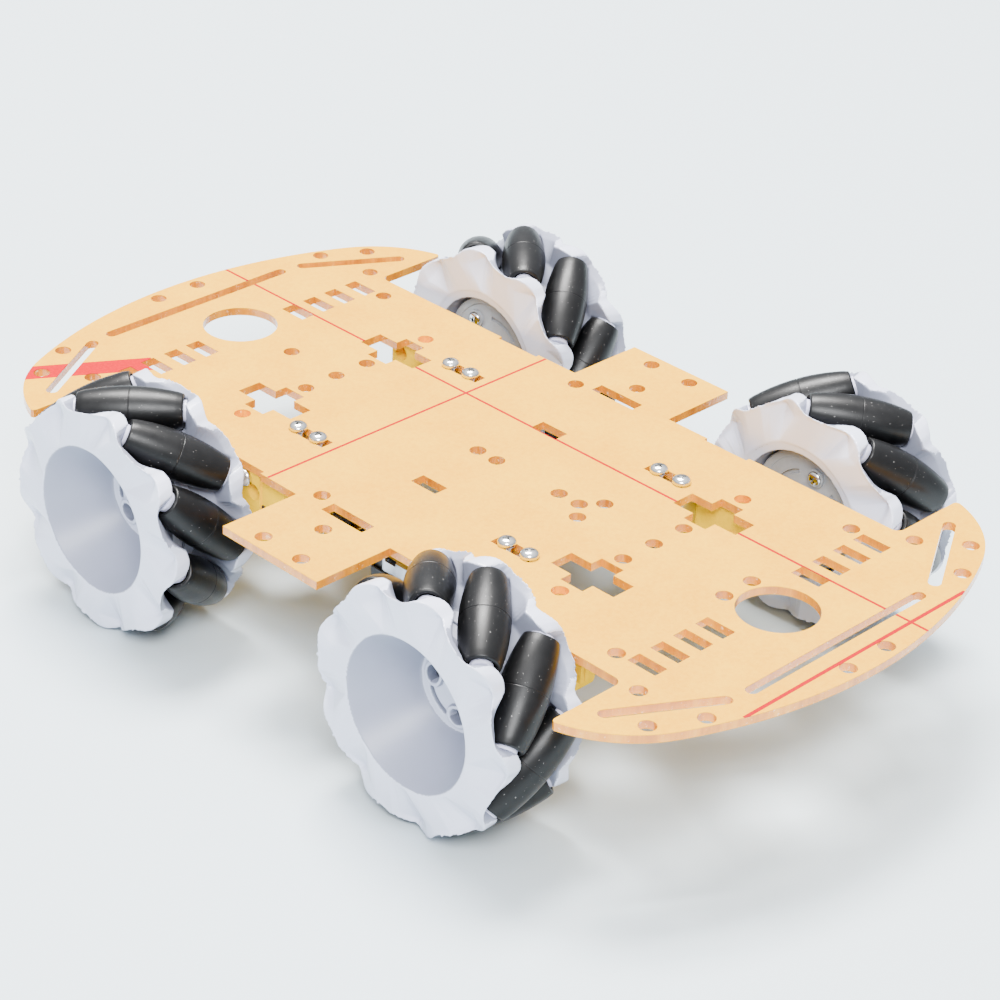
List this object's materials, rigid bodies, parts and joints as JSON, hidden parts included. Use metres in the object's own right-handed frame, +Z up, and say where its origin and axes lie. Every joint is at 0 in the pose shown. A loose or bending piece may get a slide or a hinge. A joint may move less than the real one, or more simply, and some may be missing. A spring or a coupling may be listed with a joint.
{
  "type": "mecanum wheel robot chassis",
  "caption": "Flat slotted deck with rounded ends on gearmotors with mecanum wheels; every wheel and every angled barrel roller turns freely.",
  "frame": {"origin": "on the floor under the middle of the deck", "axes": "+X forward, +Y left, +Z up"},
  "size_m": [0.2726, 0.1764, 0.0687],
  "materials": {
    "deck_board": "acrylic sheet under its tan protective paper",
    "gearbox_plastic": "moulded yellow plastic",
    "motor_steel": "bright plated steel can",
    "bracket_alloy": "satin machined block with nickel screws",
    "hub_plastic": "light grey gloss moulding",
    "roller_rubber": "matte charcoal rubber"
  },
  "bodies": {
    "chassis": {"chassis_plate": "deck_board", "gearbox_front_left": "gearbox_plastic", "motor_front_left": "motor_steel", "bracket_front_left": "bracket_alloy", "gearbox_front_right": "gearbox_plastic", "motor_front_right": "motor_steel", "bracket_front_right": "bracket_alloy", "gearbox_rear_left": "gearbox_plastic", "motor_rear_left": "motor_steel", "bracket_rear_left": "bracket_alloy", "gearbox_rear_right": "gearbox_plastic", "motor_rear_right": "motor_steel", "bracket_rear_right": "bracket_alloy"},
    "wheel_front_left": {"hub_outer_front_left": "hub_plastic", "hub_inner_front_left": "hub_plastic"},
    "wheel_front_right": {"hub_outer_front_right": "hub_plastic", "hub_inner_front_right": "hub_plastic"},
    "wheel_rear_left": {"hub_outer_rear_left": "hub_plastic", "hub_inner_rear_left": "hub_plastic"},
    "wheel_rear_right": {"hub_outer_rear_right": "hub_plastic", "hub_inner_rear_right": "hub_plastic"},
    "roller_front_left_1": {"roller_front_left_1": "roller_rubber"},
    "roller_front_left_2": {"roller_front_left_2": "roller_rubber"},
    "roller_front_left_3": {"roller_front_left_3": "roller_rubber"},
    "roller_front_left_4": {"roller_front_left_4": "roller_rubber"},
    "roller_front_left_5": {"roller_front_left_5": "roller_rubber"},
    "roller_front_left_6": {"roller_front_left_6": "roller_rubber"},
    "roller_front_left_7": {"roller_front_left_7": "roller_rubber"},
    "roller_front_left_8": {"roller_front_left_8": "roller_rubber"},
    "roller_front_left_9": {"roller_front_left_9": "roller_rubber"},
    "roller_front_right_1": {"roller_front_right_1": "roller_rubber"},
    "roller_front_right_2": {"roller_front_right_2": "roller_rubber"},
    "roller_front_right_3": {"roller_front_right_3": "roller_rubber"},
    "roller_front_right_4": {"roller_front_right_4": "roller_rubber"},
    "roller_front_right_5": {"roller_front_right_5": "roller_rubber"},
    "roller_front_right_6": {"roller_front_right_6": "roller_rubber"},
    "roller_front_right_7": {"roller_front_right_7": "roller_rubber"},
    "roller_front_right_8": {"roller_front_right_8": "roller_rubber"},
    "roller_front_right_9": {"roller_front_right_9": "roller_rubber"},
    "roller_rear_left_1": {"roller_rear_left_1": "roller_rubber"},
    "roller_rear_left_2": {"roller_rear_left_2": "roller_rubber"},
    "roller_rear_left_3": {"roller_rear_left_3": "roller_rubber"},
    "roller_rear_left_4": {"roller_rear_left_4": "roller_rubber"},
    "roller_rear_left_5": {"roller_rear_left_5": "roller_rubber"},
    "roller_rear_left_6": {"roller_rear_left_6": "roller_rubber"},
    "roller_rear_left_7": {"roller_rear_left_7": "roller_rubber"},
    "roller_rear_left_8": {"roller_rear_left_8": "roller_rubber"},
    "roller_rear_left_9": {"roller_rear_left_9": "roller_rubber"},
    "roller_rear_right_1": {"roller_rear_right_1": "roller_rubber"},
    "roller_rear_right_2": {"roller_rear_right_2": "roller_rubber"},
    "roller_rear_right_3": {"roller_rear_right_3": "roller_rubber"},
    "roller_rear_right_4": {"roller_rear_right_4": "roller_rubber"},
    "roller_rear_right_5": {"roller_rear_right_5": "roller_rubber"},
    "roller_rear_right_6": {"roller_rear_right_6": "roller_rubber"},
    "roller_rear_right_7": {"roller_rear_right_7": "roller_rubber"},
    "roller_rear_right_8": {"roller_rear_right_8": "roller_rubber"},
    "roller_rear_right_9": {"roller_rear_right_9": "roller_rubber"}
  },
  "joints": [
    {"name": "wheel_front_left_spin", "type": "hinge", "parent": "chassis", "child": "wheel_front_left", "pos_m": [0.0614, 0.073, 0.0345], "axis": [0, 1, 0], "continuous": true},
    {"name": "wheel_front_right_spin", "type": "hinge", "parent": "chassis", "child": "wheel_front_right", "pos_m": [0.0614, -0.073, 0.0345], "axis": [0, 1, 0], "continuous": true},
    {"name": "wheel_rear_left_spin", "type": "hinge", "parent": "chassis", "child": "wheel_rear_left", "pos_m": [-0.0614, 0.073, 0.0345], "axis": [0, 1, 0], "continuous": true},
    {"name": "wheel_rear_right_spin", "type": "hinge", "parent": "chassis", "child": "wheel_rear_right", "pos_m": [-0.0614, -0.073, 0.0345], "axis": [0, 1, 0], "continuous": true},
    {"name": "roller_front_left_1_spin", "type": "hinge", "parent": "wheel_front_left", "child": "roller_front_left_1", "pos_m": [0.08391, 0.073, 0.05115], "axis": [0.4206, 0.7071, -0.5684], "continuous": true},
    {"name": "roller_front_left_2_spin", "type": "hinge", "parent": "wheel_front_left", "child": "roller_front_left_2", "pos_m": [0.06794, 0.073, 0.06173], "axis": [0.6876, 0.7071, -0.1651], "continuous": true},
    {"name": "roller_front_left_3_spin", "type": "hinge", "parent": "wheel_front_left", "child": "roller_front_left_3", "pos_m": [0.04891, 0.073, 0.05956], "axis": [0.6328, 0.7071, 0.3155], "continuous": true},
    {"name": "roller_front_left_4_spin", "type": "hinge", "parent": "wheel_front_left", "child": "roller_front_left_4", "pos_m": [0.03572, 0.073, 0.04566], "axis": [0.282, 0.7071, 0.6485], "continuous": true},
    {"name": "roller_front_left_5_spin", "type": "hinge", "parent": "wheel_front_left", "child": "roller_front_left_5", "pos_m": [0.03455, 0.073, 0.02655], "axis": [-0.2008, 0.7071, 0.678], "continuous": true},
    {"name": "roller_front_left_6_spin", "type": "hinge", "parent": "wheel_front_left", "child": "roller_front_left_6", "pos_m": [0.04595, 0.073, 0.01115], "axis": [-0.5896, 0.7071, 0.3903], "continuous": true},
    {"name": "roller_front_left_7_spin", "type": "hinge", "parent": "wheel_front_left", "child": "roller_front_left_7", "pos_m": [0.06457, 0.073, 0.00668], "axis": [-0.7026, 0.7071, -0.08], "continuous": true},
    {"name": "roller_front_left_8_spin", "type": "hinge", "parent": "wheel_front_left", "child": "roller_front_left_8", "pos_m": [0.08171, 0.073, 0.01523], "axis": [-0.4867, 0.7071, -0.5129], "continuous": true},
    {"name": "roller_front_left_9_spin", "type": "hinge", "parent": "wheel_front_left", "child": "roller_front_left_9", "pos_m": [0.08935, 0.073, 0.03279], "axis": [-0.0432, 0.7071, -0.7058], "continuous": true},
    {"name": "roller_front_right_1_spin", "type": "hinge", "parent": "wheel_front_right", "child": "roller_front_right_1", "pos_m": [0.08646, -0.073, 0.04699], "axis": [-0.3155, 0.7071, 0.6328], "continuous": true},
    {"name": "roller_front_right_2_spin", "type": "hinge", "parent": "wheel_front_right", "child": "roller_front_right_2", "pos_m": [0.07257, -0.073, 0.06018], "axis": [-0.6485, 0.7071, 0.282], "continuous": true},
    {"name": "roller_front_right_3_spin", "type": "hinge", "parent": "wheel_front_right", "child": "roller_front_right_3", "pos_m": [0.05345, -0.073, 0.06135], "axis": [-0.678, 0.7071, -0.2008], "continuous": true},
    {"name": "roller_front_right_4_spin", "type": "hinge", "parent": "wheel_front_right", "child": "roller_front_right_4", "pos_m": [0.03805, -0.073, 0.04995], "axis": [-0.3903, 0.7071, -0.5896], "continuous": true},
    {"name": "roller_front_right_5_spin", "type": "hinge", "parent": "wheel_front_right", "child": "roller_front_right_5", "pos_m": [0.03358, -0.073, 0.03133], "axis": [0.08, 0.7071, -0.7026], "continuous": true},
    {"name": "roller_front_right_6_spin", "type": "hinge", "parent": "wheel_front_right", "child": "roller_front_right_6", "pos_m": [0.04213, -0.073, 0.01419], "axis": [0.5129, 0.7071, -0.4867], "continuous": true},
    {"name": "roller_front_right_7_spin", "type": "hinge", "parent": "wheel_front_right", "child": "roller_front_right_7", "pos_m": [0.05969, -0.073, 0.00655], "axis": [0.7058, 0.7071, -0.0432], "continuous": true},
    {"name": "roller_front_right_8_spin", "type": "hinge", "parent": "wheel_front_right", "child": "roller_front_right_8", "pos_m": [0.07805, -0.073, 0.01199], "axis": [0.5684, 0.7071, 0.4206], "continuous": true},
    {"name": "roller_front_right_9_spin", "type": "hinge", "parent": "wheel_front_right", "child": "roller_front_right_9", "pos_m": [0.08863, -0.073, 0.02796], "axis": [0.1651, 0.7071, 0.6876], "continuous": true},
    {"name": "roller_rear_left_1_spin", "type": "hinge", "parent": "wheel_rear_left", "child": "roller_rear_left_1", "pos_m": [-0.03358, 0.073, 0.03767], "axis": [-0.08, 0.7071, 0.7026], "continuous": true},
    {"name": "roller_rear_left_2_spin", "type": "hinge", "parent": "wheel_rear_left", "child": "roller_rear_left_2", "pos_m": [-0.04213, 0.073, 0.05481], "axis": [-0.5129, 0.7071, 0.4867], "continuous": true},
    {"name": "roller_rear_left_3_spin", "type": "hinge", "parent": "wheel_rear_left", "child": "roller_rear_left_3", "pos_m": [-0.05969, 0.073, 0.06245], "axis": [-0.7058, 0.7071, 0.0432], "continuous": true},
    {"name": "roller_rear_left_4_spin", "type": "hinge", "parent": "wheel_rear_left", "child": "roller_rear_left_4", "pos_m": [-0.07805, 0.073, 0.05701], "axis": [-0.5684, 0.7071, -0.4206], "continuous": true},
    {"name": "roller_rear_left_5_spin", "type": "hinge", "parent": "wheel_rear_left", "child": "roller_rear_left_5", "pos_m": [-0.08863, 0.073, 0.04104], "axis": [-0.1651, 0.7071, -0.6876], "continuous": true},
    {"name": "roller_rear_left_6_spin", "type": "hinge", "parent": "wheel_rear_left", "child": "roller_rear_left_6", "pos_m": [-0.08646, 0.073, 0.02201], "axis": [0.3155, 0.7071, -0.6328], "continuous": true},
    {"name": "roller_rear_left_7_spin", "type": "hinge", "parent": "wheel_rear_left", "child": "roller_rear_left_7", "pos_m": [-0.07257, 0.073, 0.00882], "axis": [0.6485, 0.7071, -0.282], "continuous": true},
    {"name": "roller_rear_left_8_spin", "type": "hinge", "parent": "wheel_rear_left", "child": "roller_rear_left_8", "pos_m": [-0.05345, 0.073, 0.00765], "axis": [0.678, 0.7071, 0.2008], "continuous": true},
    {"name": "roller_rear_left_9_spin", "type": "hinge", "parent": "wheel_rear_left", "child": "roller_rear_left_9", "pos_m": [-0.03805, 0.073, 0.01905], "axis": [0.3903, 0.7071, 0.5896], "continuous": true},
    {"name": "roller_rear_right_1_spin", "type": "hinge", "parent": "wheel_rear_right", "child": "roller_rear_right_1", "pos_m": [-0.03396, -0.073, 0.04008], "axis": [0.141, 0.7071, -0.6929], "continuous": true},
    {"name": "roller_rear_right_2_spin", "type": "hinge", "parent": "wheel_rear_right", "child": "roller_rear_right_2", "pos_m": [-0.04397, -0.073, 0.05641], "axis": [0.5534, 0.7071, -0.4402], "continuous": true},
    {"name": "roller_rear_right_3_spin", "type": "hinge", "parent": "wheel_rear_right", "child": "roller_rear_right_3", "pos_m": [-0.06213, -0.073, 0.06249], "axis": [0.7069, 0.7071, 0.0185], "continuous": true},
    {"name": "roller_rear_right_4_spin", "type": "hinge", "parent": "wheel_rear_right", "child": "roller_rear_right_4", "pos_m": [-0.07995, -0.073, 0.05547], "axis": [0.5296, 0.7071, 0.4685], "continuous": true},
    {"name": "roller_rear_right_5_spin", "type": "hinge", "parent": "wheel_rear_right", "child": "roller_rear_right_5", "pos_m": [-0.08909, -0.073, 0.03864], "axis": [0.1045, 0.7071, 0.6993], "continuous": true},
    {"name": "roller_rear_right_6_spin", "type": "hinge", "parent": "wheel_rear_right", "child": "roller_rear_right_6", "pos_m": [-0.08527, -0.073, 0.01987], "axis": [-0.3695, 0.7071, 0.6029], "continuous": true},
    {"name": "roller_rear_right_7_spin", "type": "hinge", "parent": "wheel_rear_right", "child": "roller_rear_right_7", "pos_m": [-0.07028, -0.073, 0.00795], "axis": [-0.6706, 0.7071, 0.2244], "continuous": true},
    {"name": "roller_rear_right_8_spin", "type": "hinge", "parent": "wheel_rear_right", "child": "roller_rear_right_8", "pos_m": [-0.05114, -0.073, 0.00845], "axis": [-0.6579, 0.7071, -0.2592], "continuous": true},
    {"name": "roller_rear_right_9_spin", "type": "hinge", "parent": "wheel_rear_right", "child": "roller_rear_right_9", "pos_m": [-0.03679, -0.073, 0.02114], "axis": [-0.3374, 0.7071, -0.6214], "continuous": true}
  ]
}
